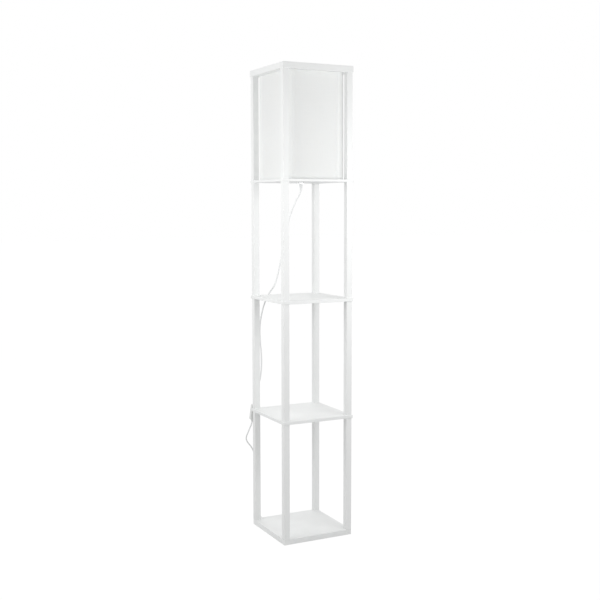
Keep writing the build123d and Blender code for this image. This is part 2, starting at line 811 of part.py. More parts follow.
# Below the switch it swings out to the left, curls back behind the left post and comes down to
# the floor, where it turns along the back of the base.
lower_cord_points = [
    switch_middle + switch_axis * cord_reach,
    switch_middle + switch_axis * (cord_reach + run_out_of_switch),
    Vector(-134, 141, 346),
    Vector(-140, 141.5, 332),
    Vector(-148.5, 143.5, 312),
    Vector(-141, 147, 294),
    Vector(-126, 150, 279),
    Vector(-114, 152.5, 256),
    Vector(-106, 154.5, 226),
    Vector(-102, 156, 193),
    Vector(-99, 157.5, 157),
    Vector(-97, 158, 122),
    Vector(-98, 158, 87),
    Vector(-98, 157, 56),
    Vector(-96, 155.5, 33),
    Vector(-91, 149.5, 15),
    Vector(-80, 139.5, 5),
    Vector(hank_left - lead_in, near_side, low_layer),
    Vector(hank_left - hank_join, near_side, low_layer),
]

# The spare length lies in a flat hank: out along the near side, back along the far side and out
# once more on top of the first run.


def hank_run_points(side, waist, height, direction):
    """One run of the hank, drawn in at the waist. Direction 1 goes to the right."""
    marks = ((-waist_reach, side), (-waist_length / 2, waist), (waist_length / 2, waist), (waist_reach, side))
    return [Vector(hank_middle_x + direction * along, across, height) for along, across in marks]


def hank_fold_points(end, heights):
    """The four corners round the left (-1) or right (1) end of the hank."""
    corner_radius = hank_fold_radius / math.cos(math.radians(22.5))
    points = []
    for angle, height in zip((-67.5, -22.5, 22.5, 67.5), heights):
        out = hank_run / 2 + corner_radius * math.cos(math.radians(angle))
        across = corner_radius * math.sin(math.radians(angle))
        points.append(Vector(hank_middle_x + end * out, hank_middle_y + end * across, height))
    return points


hank_points = [
    lower_cord_points[-1],
    *hank_run_points(near_side, near_waist, low_layer, 1),
    *hank_fold_points(1, [low_layer] * 4),
    *hank_run_points(far_side, far_waist, low_layer, -1),
    *hank_fold_points(-1, (low_layer, low_layer + climb_step, high_layer, high_layer)),
    *hank_run_points(near_side, near_waist, high_layer, 1),
    Vector(hank_right, near_side, high_layer),
]
hank_radii = [
    waist_radius if abs(point.X - hank_middle_x) <= waist_reach else hank_fold_radius - fold_easing
    for point in hank_points[1:-1]
]

# The last stretch comes down from the hank and bends round the corner of the base to the plug.
end_cord_points = [
    hank_points[-1],
    Vector(hank_right + lead_out, near_side, high_layer),
    Vector(hank_right + 2 * lead_out, near_side + 0.4, 6.4),
    Vector(86, 131.6, 3.4),
    Vector(101, 131.6, 2.6),
    Vector(115.5, 131.8, 3.2),
    plug_start - plug_heading * run_into_plug,
    plug_start,
]


def natural_radii(points):
    """Bend radii as large as the two runs at each corner allow."""
    radii = []
    for before, corner, after in zip(points, points[1:], points[2:]):
        run_in = corner - before
        run_out = after - corner
        half_turn = math.radians(run_in.get_angle(run_out)) / 2
        radii.append(bend_share * min(run_in.length, run_out.length) / math.tan(half_turn))
    return radii


def make_cord(name, points, radii):
    """Sweep one stretch of cord along straight runs joined by arcs, and print its facts."""
    with BuildPart() as cord:
        with BuildLine() as route:
            FilletPolyline(*points, radius=radii)
        path = route.wires()[0]
        with BuildSketch(Plane(origin=points[0], z_dir=points[1] - points[0])):
            Circle(cord_diameter / 2)
        sweep(path=path)
    save(cord, name)
    expected = path.length * math.pi * cord_diameter**2 / 4
    print(f"{name}: {path.length:.0f} mm, volume over section x length {cord.part.volume / expected:.4f}")
    print("  radii", " ".join(f"{radius:.0f}" for radius in radii))
    return path


upper_path = make_cord("cord_upper", upper_cord_points, natural_radii(upper_cord_points))
lower_path = make_cord("cord_lower", lower_cord_points, natural_radii(lower_cord_points))
hank_path = make_cord("cord_hank", hank_points, hank_radii)
end_path = make_cord("cord_end", end_cord_points, natural_radii(end_cord_points))
cord_length = sum(path.length for path in (upper_path, lower_path, hank_path, end_path)) + 2 * cord_reach
print(f"cord from the strain relief to the plug, through the switch: {cord_length:.0f} mm")

hank_samples = [hank_path.position_at(step / hank_sample_count) for step in range(hank_sample_count + 1)]
sample_step = hank_path.length / hank_sample_count
apart = math.ceil(math.pi * hank_fold_radius / 2 / sample_step)
least_gap = min(
    (hank_samples[i] - hank_samples[j]).length
    for i in range(hank_sample_count + 1)
    for j in range(i + apart, hank_sample_count + 1)
)
print(f"least gap of the hank to itself: {least_gap - cord_diameter:.2f} mm")

# A band round the waist of the hank holds its three runs together.
with BuildPart() as hank_tie:
    strands = [(near_waist, low_layer), (near_waist, high_layer), (far_waist, low_layer)]
    inner_radius = cord_diameter / 2 + tie_clearance
    tie_plane = Plane(origin=(hank_middle_x - tie_width / 2, 0, 0), x_dir=(0, 1, 0), z_dir=(1, 0, 0))
    for radius, mode in ((inner_radius + tie_thickness, Mode.ADD), (inner_radius, Mode.SUBTRACT)):
        with BuildSketch(tie_plane):
            with Locations(*strands):
                Circle(radius)
            make_hull()
        extrude(amount=tie_width, mode=mode)
save(hank_tie, "hank_tie")
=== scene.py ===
import math

import bmesh
import bpy
from mathutils import Matrix, Vector


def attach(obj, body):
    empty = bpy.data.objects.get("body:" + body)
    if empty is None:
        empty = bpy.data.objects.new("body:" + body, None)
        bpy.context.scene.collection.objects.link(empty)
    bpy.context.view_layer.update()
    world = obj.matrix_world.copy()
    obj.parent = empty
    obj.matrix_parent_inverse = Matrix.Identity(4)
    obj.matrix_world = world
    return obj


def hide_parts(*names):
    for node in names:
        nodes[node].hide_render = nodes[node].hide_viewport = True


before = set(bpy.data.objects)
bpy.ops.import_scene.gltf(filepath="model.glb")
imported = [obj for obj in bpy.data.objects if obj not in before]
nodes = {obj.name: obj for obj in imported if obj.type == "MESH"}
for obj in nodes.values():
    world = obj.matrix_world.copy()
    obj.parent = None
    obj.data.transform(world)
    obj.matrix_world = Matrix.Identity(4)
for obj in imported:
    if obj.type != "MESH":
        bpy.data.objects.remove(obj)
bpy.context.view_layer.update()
scene = bpy.context.scene
scene.view_settings.view_transform = "Standard"

MM = 0.001  # the pieces are in millimetres; the camera, lamps and textures are in metres


def add_object(name, data):
    """A new object in the scene, at the origin."""
    made = bpy.data.objects.new(name, data)
    scene.collection.objects.link(made)
    return made


def turn_angles(count):
    """This many angles, evenly round a full turn."""
    return [2 * math.pi * k / count for k in range(count)]


def smooth_step(value):
    """0 to 1 with level ends, for a value from 0 to 1."""
    value = min(max(value, 0.0), 1.0)
    return value * value * (3 - 2 * value)


# ---------------------------------------------------------------- camera

AZIMUTH = math.radians(-26.8015)
DISTANCE = 3.32597  # level distance from the lamp's axis
EYE_HEIGHT = 1.122958
PITCH = math.radians(5.3983)
YAW = math.radians(0.0656)
ROLL = math.radians(-0.0954)
LENS = 58.301

heading = AZIMUTH + YAW
forward = Vector(
    (-math.sin(heading) * math.cos(PITCH), math.cos(heading) * math.cos(PITCH), -math.sin(PITCH))
)
level = forward.cross(Vector((0, 0, 1))).normalized()
steep = level.cross(forward)
right = level * math.cos(ROLL) + steep * math.sin(ROLL)
up = steep * math.cos(ROLL) - level * math.sin(ROLL)
eye = Vector((DISTANCE * math.sin(AZIMUTH), -DISTANCE * math.cos(AZIMUTH), EYE_HEIGHT))

camera_data = bpy.data.cameras.new("camera")
camera_data.lens = LENS
camera_data.sensor_width = 36.0
camera = add_object("camera", camera_data)
camera.matrix_world = Matrix(
    (
        (right.x, up.x, -forward.x, eye.x),
        (right.y, up.y, -forward.y, eye.y),
        (right.z, up.z, -forward.z, eye.z),
        (0, 0, 0, 1),
    )
)
scene.camera = camera

# ---------------------------------------------------------------- sizes of the shade

HALF_SHADE = 104.9
SHADE_BOTTOM = 1219.0
SHADE_TOP = 1584.0
PANEL_THICKNESS = 2.6
HEM = 22.0  # width of the turned hem
HEM_RISE = 0.3  # how far the doubled cloth stands out
STITCH_INSET = 1.6  # from the hem's fold to its stitching
FRONT_WIDTH = 2 * HALF_SHADE
SIDE_WIDTH = 2 * (HALF_SHADE - PANEL_THICKNESS)

# ---------------------------------------------------------------- materials


class Material:
    """A Principled material and short ways to add nodes to it."""

    def __init__(self, name, roughness, **sockets):
        self.material = bpy.data.materials.new(name)
        self.material.use_nodes = True
        self.tree = self.material.node_tree
        self.shader = self.tree.nodes["Principled BSDF"]
        self.set("Roughness", roughness)
        for key, value in sockets.items():
            self.set(key.replace("_", " "), value)

    def set(self, socket, value):
        self.shader.inputs[socket].default_value = value

    def node(self, kind, inputs=None, **settings):
        """A new node; an input is another node's output or a constant."""
        made = self.tree.nodes.new(kind)
        for key, value in settings.items():
            setattr(made, key, value)
        for key, value in (inputs or {}).items():
            if isinstance(value, bpy.types.NodeSocket):
                self.tree.links.new(value, made.inputs[key])
            else:
                made.inputs[key].default_value = value
        return made

    def place(self, scale=(1, 1, 1), location=(0, 0, 0)):
        """Object coordinates, in metres, times a scale for each axis."""
        coordinates = self.node("ShaderNodeTexCoord").outputs["Object"]
        inputs = {"Vector": coordinates, "Scale": scale, "Location": location}
        return self.node("ShaderNodeMapping", inputs).outputs[0]

    def noise(self, scale, detail=2.0, roughness=0.5, stretch=(1, 1, 1), location=(0, 0, 0)):
        """Noise from 0 to 1; stretch is small along its streaks."""
        place = self.place(stretch, location)
        inputs = {"Vector": place, "Scale": scale, "Detail": detail, "Roughness": roughness}
        return self.node("ShaderNodeTexNoise", inputs).outputs["Fac"]

    def ramp(self, value, stops):
        """A colour ramp through (position, colour) stops."""
        made = self.node("ShaderNodeValToRGB", {"Fac": value})
        elements = made.color_ramp.elements
        while len(elements) < len(stops):
            elements.new(0.5)
        for element, (position, color) in zip(elements, stops):
            element.position = position
            element.color = (*color, 1)
        return made.outputs["Color"]

    def math(self, operation, a, b=0.0, c=0.0):
        return self.node("ShaderNodeMath", {0: a, 1: b, 2: c}, operation=operation).outputs[0]

    def mapped(self, value, low, high, start=0.0, stop=1.0):
        """A value from start to stop, mapped to low to high and kept between them."""
        inputs = {0: value, 1: start, 2: stop, 3: low, 4: high}
        return self.node("ShaderNodeMapRange", inputs).outputs[0]

    def mix(self, share, under, over):
        """The colour under, covered by the plain colour over by this share."""
        inputs = {0: share, 6: under, 7: (*over, 1)}
        return self.node("ShaderNodeMix", inputs, data_type="RGBA").outputs[2]

    def color(self, value):
        self.tree.links.new(value, self.shader.inputs["Base Color"])

    def rough(self, value):
        self.tree.links.new(value, self.shader.inputs["Roughness"])

    def bump(self, height, distance, strength):
        """Bump from a height output, over any bump that is there; distance is its depth in metres."""
        inputs = {"Height": height, "Distance": distance, "Strength": strength}
        old = self.shader.inputs["Normal"].links
        if old:
            inputs["Normal"] = old[0].from_socket
        made = self.node("ShaderNodeBump", inputs)
        self.tree.links.new(made.outputs["Normal"], self.shader.inputs["Normal"])

    def scatter(self, weight):
        """Light that goes a few millimetres into a white material."""
        self.set("Subsurface Weight", weight)
        self.set("Subsurface Scale", 0.004)


def tint(color, factor):
    return tuple(channel * factor for channel in color)


PAINT = (0.862, 0.872, 0.867)
CLOTH = (0.862, 0.872, 0.862)
CLOTH_SCATTER = (1.0, 0.97, 0.92)  # how far red, green and blue light goes into the cloth
THREAD_SPACING = 0.7  # of the weave
STITCH_LENGTH = 3.2  # one stitch and its gap, in the hems' stitching
ALONG_GRAIN = 0.035  # scale of the grain's noise along the wood


def painted_wood(name, stretch, seed):
    """Satin white paint over wood; stretch is small along the grain."""
    mat = Material(name, 0.42, Specular_IOR_Level=0.42)
    grain = mat.noise(520, 4.0, 0.62, stretch, (seed, seed * 1.7, seed * 0.6))
    broad = mat.noise(9, 2.0, 0.5, (1, 1, 0.6), (seed * 2.1, seed, seed))
    blend = mat.math("MULTIPLY_ADD", grain, 0.25, mat.math("MULTIPLY", broad, 0.75))
    mat.color(mat.ramp(blend, [(0.3, tint(PAINT, 0.96)), (0.5, PAINT), (0.72, tint(PAINT, 1.025))]))
    mat.rough(mat.mapped(mat.noise(260, 3.0), 0.34, 0.52))
    mat.bump(grain, 0.00014, 0.6)
    mat.bump(mat.noise(1500, 2.0), 0.00005, 0.45)  # the roller's orange peel
    return mat.material


def metal(name, color, roughness, brushed=(1, 1, 1)):
    """Bright metal with fine wear; brushed is small along the marks."""
    mat = Material(name, roughness, Metallic=1.0)
    wear = mat.noise(900, 3.0, 0.6, brushed)
    mat.color(mat.ramp(wear, [(0.25, tint(color, 0.82)), (0.75, color)]))
    mat.rough(mat.mapped(wear, roughness * 0.75, roughness * 1.35))
    mat.bump(wear, 0.00004, 0.5)
    return mat.material


def plastic(name, color, roughness, grain=2100, depth=0.00003):
    """Moulded plastic with a fine grain and a faint cloud in its colour."""
    mat = Material(name, roughness)
    cloud = mat.noise(40, 2.0)
    mat.color(mat.ramp(cloud, [(0.3, tint(color, 0.97)), (0.7, tint(color, 1.01))]))
    speckle = mat.noise(grain, 2.0)
    mat.rough(mat.mapped(speckle, roughness * 0.85, roughness * 1.2))
    mat.bump(speckle, depth, 0.6)
    return mat.material


def fabric(name, across, width):
    """Plain white cloth with slubs, doubled and stitched at its hems. across is its level axis, 0 or 1."""
    mat = Material(name, 0.92, Specular_IOR_Level=0.15, Sheen_Weight=0.15, Sheen_Roughness=0.5)
    mat.scatter(0.35)
    mat.set("Subsurface Radius", CLOTH_SCATTER)
    axes = mat.node("ShaderNodeSeparateXYZ", {0: mat.place()}).outputs
    threads = 2 * math.pi / (THREAD_SPACING * MM)
    warp = mat.math("SINE", mat.math("MULTIPLY", axes[across], threads))
    weft = mat.math("SINE", mat.math("MULTIPLY", axes[2], threads))
    weave = mat.math("MULTIPLY", warp, weft)
    stretch = [1, 1, 1]
    stretch[across] = 0.04
    slub_across = mat.noise(520, 2.0, 0.6, stretch)
    slub_up = mat.noise(520, 2.0, 0.6, (1, 1, 0.04), (3, 1, 2))
    slubs = mat.math("MAXIMUM", slub_across, slub_up)
    cloth = mat.ramp(slubs, [(0.35, tint(CLOTH, 0.983)), (0.55, CLOTH), (0.8, tint(CLOTH, 1.01))])
    fold = (width / 2 - HEM) * MM
    beyond = mat.math("SUBTRACT", mat.math("ABSOLUTE", axes[across]), fold)
    double = mat.mapped(beyond, 0.0, 1.0, -0.0004, 0.0004)
    from_line = mat.math("ABSOLUTE", mat.math("SUBTRACT", beyond, STITCH_INSET * MM))
    on_line = mat.mapped(from_line, 1.0, 0.0, 0.0003, 0.0006)
    stitch = mat.math("SINE", mat.math("MULTIPLY", axes[2], 2 * math.pi / (STITCH_LENGTH * MM)))
    stitched = mat.math("MULTIPLY", on_line, mat.mapped(stitch, 0.4, 1.0))
    hemmed = mat.mix(double, cloth, tint(CLOTH, 1.035))
    mat.color(mat.mix(stitched, hemmed, tint(CLOTH, 0.86)))
    mat.bump(mat.math("MULTIPLY_ADD", weave, 0.35, slubs), 0.00012, 0.45)
    return mat.material


def lining(name):
    """Smooth white sheet behind the cloth."""
    mat = Material(name, 0.55)
    mat.scatter(0.35)
    mat.set("Subsurface Radius", CLOTH_SCATTER)
    cloud = mat.noise(14, 2.0)
    mat.color(mat.ramp(cloud, [(0.3, (0.87, 0.87, 0.86)), (0.7, (0.89, 0.89, 0.88))]))
    mat.bump(mat.noise(420, 2.0), 0.00003, 0.4)
    return mat.material


def frosted_glass(name):
    """The white coating of the bulb."""
    mat = Material(name, 0.28)
    mat.scatter(0.3)
    cloud = mat.noise(30, 2.0)
    mat.color(mat.ramp(cloud, [(0.3, (0.86, 0.86, 0.84)), (0.7, (0.90, 0.90, 0.88))]))
    mat.bump(mat.noise(2500, 2.0), 0.00002, 0.4)
    return mat.material


paint_upright = painted_wood("white_paint_upright", (1, 1, ALONG_GRAIN), 0.3)
paint_across = painted_wood("white_paint_across", (ALONG_GRAIN, 1, 1), 1.1)
paint_along = painted_wood("white_paint_along", (1, ALONG_GRAIN, 1), 2.3)
steel = metal("zinc_plated_steel", (0.62, 0.62, 0.63), 0.32)
brass = metal("brass", (0.80, 0.65, 0.36), 0.28)
aluminium = metal("bulb_cap_aluminium", (0.80, 0.80, 0.81), 0.26, (1, 1, 0.05))
white_enamel = plastic("white_enamel", (0.82, 0.83, 0.82), 0.35)
holder_white = plastic("lampholder_white", (0.80, 0.80, 0.78), 0.38)
relief_white = plastic("strain_relief", (0.85, 0.86, 0.86), 0.5)
switch_white = plastic("switch_white", (0.82, 0.83, 0.82), 0.3)
rocker_white = plastic("rocker_white", (0.80, 0.81, 0.80), 0.25)
mark_grey = plastic("rocker_mark_grey", (0.32, 0.33, 0.33), 0.4)
plug_white = plastic("plug_white", (0.72, 0.73, 0.72), 0.4)
cord_white = plastic("cord_jacket", (0.86, 0.87, 0.87), 0.38)
insulator_black = plastic("bulb_insulator", (0.035, 0.035, 0.037), 0.2)
pad_grey = plastic("foot_pad", (0.55, 0.55, 0.54), 0.85, 900, 0.0002)
cloth_front = fabric("shade_cloth_front", 0, FRONT_WIDTH)
cloth_side = fabric("shade_cloth_side", 1, SIDE_WIDTH)
shade_lining = lining("shade_lining")
bulb_white = frosted_glass("frosted_bulb")


NODE_FINISH = {
    "foot_pads": pad_grey,
    "shade_top_ring": white_enamel,
    "shade_carrier": white_enamel,
    "lampholder_cap": holder_white,
    "lampholder_shell": holder_white,
    "shade_ring_nut": holder_white,
    "socket_screw_shell": brass,
    "socket_contact": brass,
    "threaded_nipple": steel,
    "nipple_washer": steel,
    "nipple_nut": steel,
    "strain_relief": relief_white,
    "bulb_glass": bulb_white,
    "bulb_cap": aluminium,
    "bulb_tip": insulator_black,
    "switch_cover": switch_white,
    "switch_base": switch_white,
    "switch_rocker": rocker_white,
    "plug_body": plug_white,
    "plug_blades": brass,
    "rail_dowels": paint_along,
    "top_rail_left": paint_along,
    "top_rail_right": paint_along,
}


def node_finish(name):
    """The material of a carried-over node. Boards and the other rails have their grain across."""
    if name in NODE_FINISH:
        return NODE_FINISH[name]
    if "studs" in name or "screws" in name:
        return steel
    if "post" in name:
        return paint_upright
    return paint_across


for name in nodes:
    node_materials = nodes[name].data.materials
    node_materials.clear()
    node_materials.append(node_finish(name))

# ---------------------------------------------------------------- mains cord

CORD_DIAMETER = 5.0
RELIEF_BOTTOM = 1184.8
SWITCH_MIDDLE = Vector((-120.8, 140.0, 404.6))
SWITCH_AXIS = Vector((-0.1445, 0.0, -0.9895)).normalized()
SWITCH_REACH = 35.0  # from the switch's middle to the tip of its noses
RUN_INTO_SWITCH = 22.0
RUN_OUT_OF_SWITCH = 10.0
PLUG_START = Vector((136.0, 154.0, 7.0))
PLUG_HEADING = Vector((0.451, 0.893, 0)).normalized()
RUN_INTO_PLUG = 15.7
LOW_LAYER = 3.1  # height of the cord's middle in each layer of the hank
HIGH_LAYER = 8.8
CLIMB_HEIGHT = 7.5  # at the corner where the hank changes layer
HANK_MIDDLE = Vector((-5.0, 146.5, 0))
HANK_HALF_RUN = 45.0
HANK_FOLD = 15.0  # radius of its folds
HANK_LEFT = HANK_MIDDLE.x - HANK_HALF_RUN
HANK_RIGHT = HANK_MIDDLE.x + HANK_HALF_RUN
LEAD_IN = 16.0  # level run into the hank
HANK_JOIN = 2.0
LEAD_OUT = 15.0
NEAR_SIDE = HANK_MIDDLE.y - HANK_FOLD
FAR_SIDE = HANK_MIDDLE.y + HANK_FOLD
NEAR_WAIST = NEAR_SIDE + 12.0  # where the tie draws the near runs in to
FAR_WAIST = NEAR_WAIST + 5.5  # and the far one, beside them
WAIST_REACH = 35.0  # half the length over which a run is drawn in
WAIST_HALF = 11.0  # half the length of the waist itself
CURVE_STEPS = 8
TUBE_STEPS = 5

upper_points = [
    (0, 0, RELIEF_BOTTOM),
    (-2, 2, 1170),
    (-11, 12, 1153),
    (-19.5, 28, 1118),
    (-26, 45, 1077),
    (-27, 60, 1029),
    (-32, 75, 980),
    (-37, 88, 933),
    (-41, 98, 893),
    (-45, 109, 862),
    (-48, 124, 843),
    (-54, 139, 827),
    (-65, 147, 803),
    (-77.5, 149, 768),
    (-88, 149, 722),
    (-90.5, 147, 674),
    (-86.5, 145, 624),
    (-85, 142, 578),
    (-90, 140, 530),
    (-99, 140, 497),
    SWITCH_MIDDLE - SWITCH_AXIS * (SWITCH_REACH + RUN_INTO_SWITCH),
    SWITCH_MIDDLE - SWITCH_AXIS * SWITCH_REACH,
]
lower_points = [
    SWITCH_MIDDLE + SWITCH_AXIS * SWITCH_REACH,
    SWITCH_MIDDLE + SWITCH_AXIS * (SWITCH_REACH + RUN_OUT_OF_SWITCH),
    (-134, 141, 346),
    (-140, 141.5, 332),
    (-148.5, 143.5, 312),
    (-141, 147, 294),
    (-126, 150, 279),
    (-114, 152.5, 256),
    (-106, 154.5, 226),
    (-102, 156, 193),
    (-99, 157.5, 157),
    (-97, 158, 122),
    (-98, 158, 87),
    (-98, 157, 56),
    (-96, 155.5, 33),
    (-91, 149.5, 15),
    (-80, 139.5, 5),
    (HANK_LEFT - LEAD_IN, NEAR_SIDE, LOW_LAYER),
    (HANK_LEFT - HANK_JOIN, NEAR_SIDE, LOW_LAYER),
]


def hank_run(side, waist, height, direction):
    """One run of the hank, drawn in at its waist. Direction 1 goes to the right."""
    corners = ((-WAIST_REACH, side), (-WAIST_HALF, waist), (WAIST_HALF, waist), (WAIST_REACH, side))
    return [(HANK_MIDDLE.x + direction * along, across, height) for along, across in corners]


def hank_fold(end, heights):
    """Four corners of an octagon about the fold at the left (-1) or right (1) end of the hank."""
    corner = HANK_FOLD / math.cos(math.radians(22.5))
    points = []
    for angle, height in zip((-67.5, -22.5, 22.5, 67.5), heights):
        out = HANK_HALF_RUN + corner * math.cos(math.radians(angle))
        across = corner * math.sin(math.radians(angle))
        points.append((HANK_MIDDLE.x + end * out, HANK_MIDDLE.y + end * across, height))
    return points


hank_points = [
    *hank_run(NEAR_SIDE, NEAR_WAIST, LOW_LAYER, 1),
    *hank_fold(1, [LOW_LAYER] * 4),
    *hank_run(FAR_SIDE, FAR_WAIST, LOW_LAYER, -1),
    *hank_fold(-1, (LOW_LAYER, CLIMB_HEIGHT, HIGH_LAYER, HIGH_LAYER)),
    *hank_run(NEAR_SIDE, NEAR_WAIST, HIGH_LAYER, 1),
    (HANK_RIGHT, NEAR_SIDE, HIGH_LAYER),
]
end_points = [
    (HANK_RIGHT + LEAD_OUT, NEAR_SIDE, HIGH_LAYER),
    (HANK_RIGHT + 2 * LEAD_OUT, NEAR_SIDE + 0.4, 6.4),
    (86, 131.6, 3.4),
    (101, 131.6, 2.6),
    (115.5, 131.8, 3.2),
    PLUG_START - PLUG_HEADING * RUN_INTO_PLUG,
    PLUG_START,
]


def cord_piece(name, points, diameter, material):
    """A round tube along one smooth NURBS curve with these control points."""
    data = bpy.data.curves.new(name, "CURVE")
    data.dimensions = "3D"
    spline = data.splines.new("NURBS")
    spline.points.add(len(points) - 1)
    for control, point in zip(spline.points, points):
        control.co = (*(Vector(point) * MM), 1)
    spline.order_u = 3
    spline.use_endpoint_u = True
    spline.resolution_u = CURVE_STEPS
    data.bevel_depth = diameter / 2 * MM
    data.bevel_resolution = TUBE_STEPS
    data.use_fill_caps = True
    data.materials.append(material)
    return add_object(name, data)


cord_points = upper_points + lower_points + hank_points + end_points
mains_cord = cord_piece("mains_cord", cord_points, CORD_DIAMETER, cord_white)
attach(mains_cord, "frame")
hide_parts("cord_upper", "cord_lower", "cord_hank", "cord_end")

# ---------------------------------------------------------------- making meshes


def finished_piece(name, mesh, material, sharp_angle):
    """An object of this mesh, smooth apart from edges sharper than the angle in degrees."""
    for face in mesh.polygons:
        face.use_smooth = True
    mesh.set_sharp_from_angle(angle=math.radians(sharp_angle))
    mesh.materials.append(material)
    return add_object(name, mesh)


def mesh_piece(name, verts, faces, material):
    """A piece from its corners and faces, with its faces turned outward."""
    mesh = bpy.data.meshes.new(name)
    mesh.from_pydata([Vector(v) * MM for v in verts], [], faces)
    mesh.validate()
    mesh.update()
    build = bmesh.new()
    build.from_mesh(mesh)
    bmesh.ops.recalc_face_normals(build, faces=build.faces)
    build.to_mesh(mesh)
    build.free()
    return finished_piece(name, mesh, material, sharp_angle=38)


# ---------------------------------------------------------------- shade

EDGE_ROUNDING = 1.2  # width of the rounded edge of a panel
EDGE_DROP = 0.35
EDGE_MARGIN = 6.0  # the even rows start this far from the edge
FOLD_EASING = 0.6
STITCH_DEPTH = 0.12
STITCH_REACH = 0.3  # half the width that the stitching draws in
WAVE_HEIGHT = 0.16
WAVE_FADE_ACROSS = 20.0  # the wave fades out over this distance to the hems' folds
WAVE_FADE_UP = 30.0  # and over this one to the top and bottom
PANEL_ROWS = 24
PANEL_COLUMNS = 14


def panel_columns(half):
    """Places across a panel, close together at its edges, its stitching and the folds of its hems."""
    marks = [0.0, 0.5]
    marks += [1.5 + 4.8 * i for i in range(4)]
    marks += [HEM - STITCH_INSET + step for step in (-0.6, 0.0, 0.6)]
    marks += [HEM, HEM + FOLD_EASING]
    left = [mark - half for mark in marks]
    step = -2 * left[-1] / PANEL_COLUMNS
    inner = [left[-1] + i * step for i in range(1, PANEL_COLUMNS)]
    return left + inner + [-u for u in reversed(left)]


def panel_rows():
    """Heights up a panel, close together at its edges."""
    edge = [0.0, 0.5, 1.5]
    first = SHADE_BOTTOM + EDGE_MARGIN
    last = SHADE_TOP - EDGE_MARGIN
    rows = [SHADE_BOTTOM + rise for rise in edge]
    rows += [first + i * (last - first) / PANEL_ROWS for i in range(PANEL_ROWS + 1)]
    rows += [SHADE_TOP - drop for drop in reversed(edge)]
    return rows


def proud(half, u, z):
    """How far the cloth stands out of its panel's plane at one place."""
    edge = min(half - abs(u), z - SHADE_BOTTOM, SHADE_TOP - z)
    rim = smooth_step(edge / EDGE_ROUNDING) * EDGE_DROP - EDGE_DROP
    inside = half - HEM - abs(u)  # from the hem's fold towards the middle
    hem = HEM_RISE * (1 - smooth_step(inside / FOLD_EASING))
    stitch = -STITCH_DEPTH if abs(inside + STITCH_INSET) < STITCH_REACH else 0.0
    wave = WAVE_HEIGHT * math.sin(u * 0.047 + z * 0.013) * math.sin(z * 0.021 + 1.3)
    from_end = min(z - SHADE_BOTTOM, SHADE_TOP - z)
    wave *= smooth_step(min(inside / WAVE_FADE_ACROSS, from_end / WAVE_FADE_UP))
    return hem + rim + stitch + wave


def shade_panel(name, outward, across, width, material):
    """One panel: cloth over a stiff lining, with a turned hem at each side."""
    half = width / 2
    columns = panel_columns(half)
    rows = panel_rows()

    def place(u, z, out):
        along = across * u
        base = outward * (HALF_SHADE + out)
        return (along.x + base.x, along.y + base.y, z)

    verts = [place(u, z, proud(half, u, z)) for z in rows for u in columns]
    front_count = len(verts)
    verts += [place(u, z, -PANEL_THICKNESS) for z in rows for u in columns]
    faces = []
    n = len(columns)
    for layer in (0, front_count):
        for r in range(len(rows) - 1):
            for c in range(n - 1):
                a = layer + r * n + c
                faces.append((a, a + 1, a + n + 1, a + n))
    rim = list(range(n))
    rim += [r * n + n - 1 for r in range(1, len(rows))]
    rim += [(len(rows) - 1) * n + c for c in range(n - 2, -1, -1)]
    rim += [r * n for r in range(len(rows) - 2, 0, -1)]
    for a, b in zip(rim, rim[1:] + rim[:1]):
        faces.append((a, b, b + front_count, a + front_count))
    piece = mesh_piece(name, verts, faces, material)
    piece.data.materials.append(shade_lining)
    for face in piece.data.polygons:
        if all(vertex >= front_count for vertex in face.vertices):
            face.material_index = 1
    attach(piece, "frame")
    return piece


SIDES = {
    "front": (Vector((0, -1, 0)), Vector((1, 0, 0)), FRONT_WIDTH, cloth_front),
    "back": (Vector((0, 1, 0)), Vector((-1, 0, 0)), FRONT_WIDTH, cloth_front),
    "left": (Vector((-1, 0, 0)), Vector((0, -1, 0)), SIDE_WIDTH, cloth_side),
    "right": (Vector((1, 0, 0)), Vector((0, 1, 0)), SIDE_WIDTH, cloth_side),
}
for side, (outward, across, width, material) in SIDES.items():
    panel = shade_panel(f"shade_cloth_{side}", outward, across, width, material)
    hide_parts(f"shade_panel_{side}")

# ---------------------------------------------------------------- tie of the hank

TIE_CLEARANCE = 0.1
TIE_SEGMENTS = 48
TIE_PROFILE = [  # along the cord and out from it
    (-3.5, 0.12), (-3.2, 0.42), (-2.4, 0.5), (2.4, 0.5), (3.2, 0.42), (3.5, 0.12), (3.2, 0.0), (-3.2, 0.0)
]


def tie_outline(radius):
    """Outline of a band round the three strands at the hank's waist, as (y, z) points."""
    strands = [(NEAR_WAIST, LOW_LAYER), (NEAR_WAIST, HIGH_LAYER), (FAR_WAIST, LOW_LAYER)]
    cloud = []
    for y, z in strands:
        for angle in turn_angles(TIE_SEGMENTS):
            cloud.append((y + radius * math.cos(angle), z + radius * math.sin(angle)))
    cloud.sort()
    hull = []
    for points in (cloud, list(reversed(cloud))):
        part = []
        for p in points:
            while len(part) >= 2:
                (ax, ay), (bx, by) = part[-2], part[-1]
                if (bx - ax) * (p[1] - ay) - (by - ay) * (p[0] - ax) <= 0:
                    part.pop()
                else:
                    break
            part.append(p)
        hull += part[:-1]
    return hull


